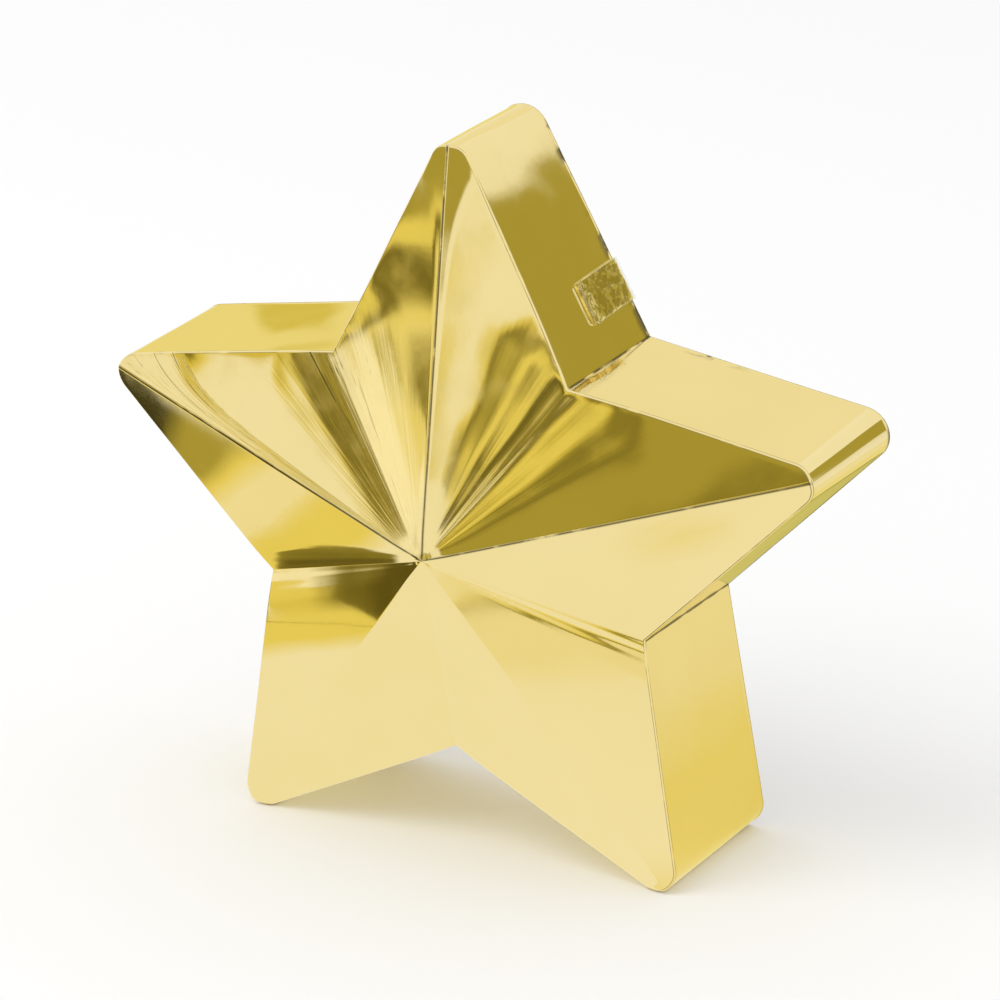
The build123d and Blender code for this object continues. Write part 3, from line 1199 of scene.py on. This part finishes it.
line_card(
    "crease_card",
    [
        (-38.8, -11.9, 24.3), (-36.4, -12.5, 25.0), (-33.4, -13.4, 25.7), (-29.5, -14.9, 26.7),
        (-26.0, -16.2, 27.5), (-22.7, -17.5, 28.3), (-19.2, -18.6, 29.2), (-14.8, -20.3, 30.3),
        (-19.4, -23.7, 28.3), (-26.8, -23.3, 26.1), (-32.7, -23.6, 24.2), (-36.7, -23.0, 23.1),
        (-40.2, -21.4, 22.3), (-42.9, -19.3, 21.8), (-43.7, -16.7, 22.0), (-43.9, -14.8, 22.3),
    ],
    [(0.0, BROWN, 1), (0.6, DARK, 1), (0.88, DARK, 1), (1.0, OLIVE, 0)],
    side=0.08,
)
line_card(
    "stripe_floor",
    [
        (18, -127, 0.9), (24, -130, 0.9), (32, -135, 0.9), (45, -142, 0.9), (60, -158, 0.9),
        (80, -175, 0.9), (100, -190, 0.9), (110, -280, 0.9), (84, -235, 0.9), (62, -200, 0.9),
        (48, -190, 0.9), (34, -162, 0.9), (25, -138, 0.9), (18, -134, 0.9),
    ],
    [(0.0, GOLD, 0), (0.12, DARK, 1), (0.35, OLIVE, 1), (0.6, GOLD, 1), (1.0, GOLD, 0.5)],
    side=0.04,
    wobble=0.05,
)
line_card(
    "spot_card", [(24, -22, 45), (44, -25, 45), (44, -15, 45), (24, -12, 45)],
    [(0.0, GOLD, 0), (0.5, GOLD, 0.4), (1.0, GOLD, 0)],
    side=0.5,
    wobble=0.4,
)
floor_card(
    "left_leg_card", (-0.008, -0.020), (-0.033, -0.056),
    [(0.0, WHITE, 1), (0.4, WHITE, 1), (0.58, GOLD, 1), (0.8, GOLD, 1), (1.0, GOLD, 0)],
    lift=0.020,
    side=0.02,
)
floor_card(
    "left_foot_card", (-0.008, -0.026), (-0.028, -0.050), PLAIN_WHITE, lift=0.012, side=0.02
)
floor_card(
    "left_toe_card", (-0.005, -0.024), (-0.027, -0.053), PLAIN_WHITE, lift=0.004, side=0.02
)
floor_card("far_floor", (-3.9, -0.3), (-0.24, 0.6), PLAIN_WHITE, side=0.01)
floor_card("front_floor", (-0.25, -0.045), (0.02, 0.16), PLAIN_WHITE, side=0.05)
floor_card(
    "front_tint", (-0.25, 0.0), (-0.085, 0.11),
    [(0.0, GOLD, 0), (0.2, GOLD, 0.4), (0.8, GOLD, 0.4), (1.0, GOLD, 0)],
    lift=0.0006,
)
floor_card(
    "right_floor", (-0.03, 0.03), (0.20, 0.20),
    [(0.0, GOLD, 0.8), (0.2, GOLD, 0.85), (0.36, GOLD, 0.45), (1.0, GOLD, 0.3)],
    lift=0.0006,
)
floor_card(
    "back_floor", (0.06, -0.06), (0.2, 0.04), [(0.0, GOLD, 1), (1.0, OLIVE, 1)],
    lift=0.0008,
    side=0.2,
)

# one soft box, above the front at the left
lamp_data = bpy.data.lights.new("soft_box", "AREA")
lamp_data.shape = "DISK"
lamp_data.size = 1.2
lamp_data.energy = 7.0
lamp = bpy.data.objects.new("soft_box", lamp_data)
lamp.location = (-0.6, -0.9, 1.3)
lamp.rotation_euler = (-Vector(lamp.location)).to_track_quat("-Z", "Y").to_euler()
lamp.visible_glossy = False
bpy.context.scene.collection.objects.link(lamp)

# Camera: to the right of the front and a little above, with a long lens. Its place and turn
# were fitted to the points, the valleys and the rim of the star in the photograph.

VIEW_PLACE = Vector((0.240722, -0.453075, 0.221538))
VIEW_RIGHT = Vector((0.883373, 0.468599, 0.008212))
VIEW_DOWN = Vector((0.157508, -0.280329, -0.946893))
VIEW_FORWARD = Vector((-0.441411, 0.837753, -0.321444))
camera_data = bpy.data.cameras.new("camera")
camera_data.lens = 145.739
camera_data.sensor_width = 36.0
camera = bpy.data.objects.new("camera", camera_data)
view_axes = Matrix((VIEW_RIGHT, -VIEW_DOWN, -VIEW_FORWARD)).transposed().to_4x4()
camera.matrix_world = Matrix.Translation(VIEW_PLACE) @ view_axes
bpy.context.scene.collection.objects.link(camera)
bpy.context.scene.camera = camera
bpy.context.scene.view_settings.view_transform = "Standard"
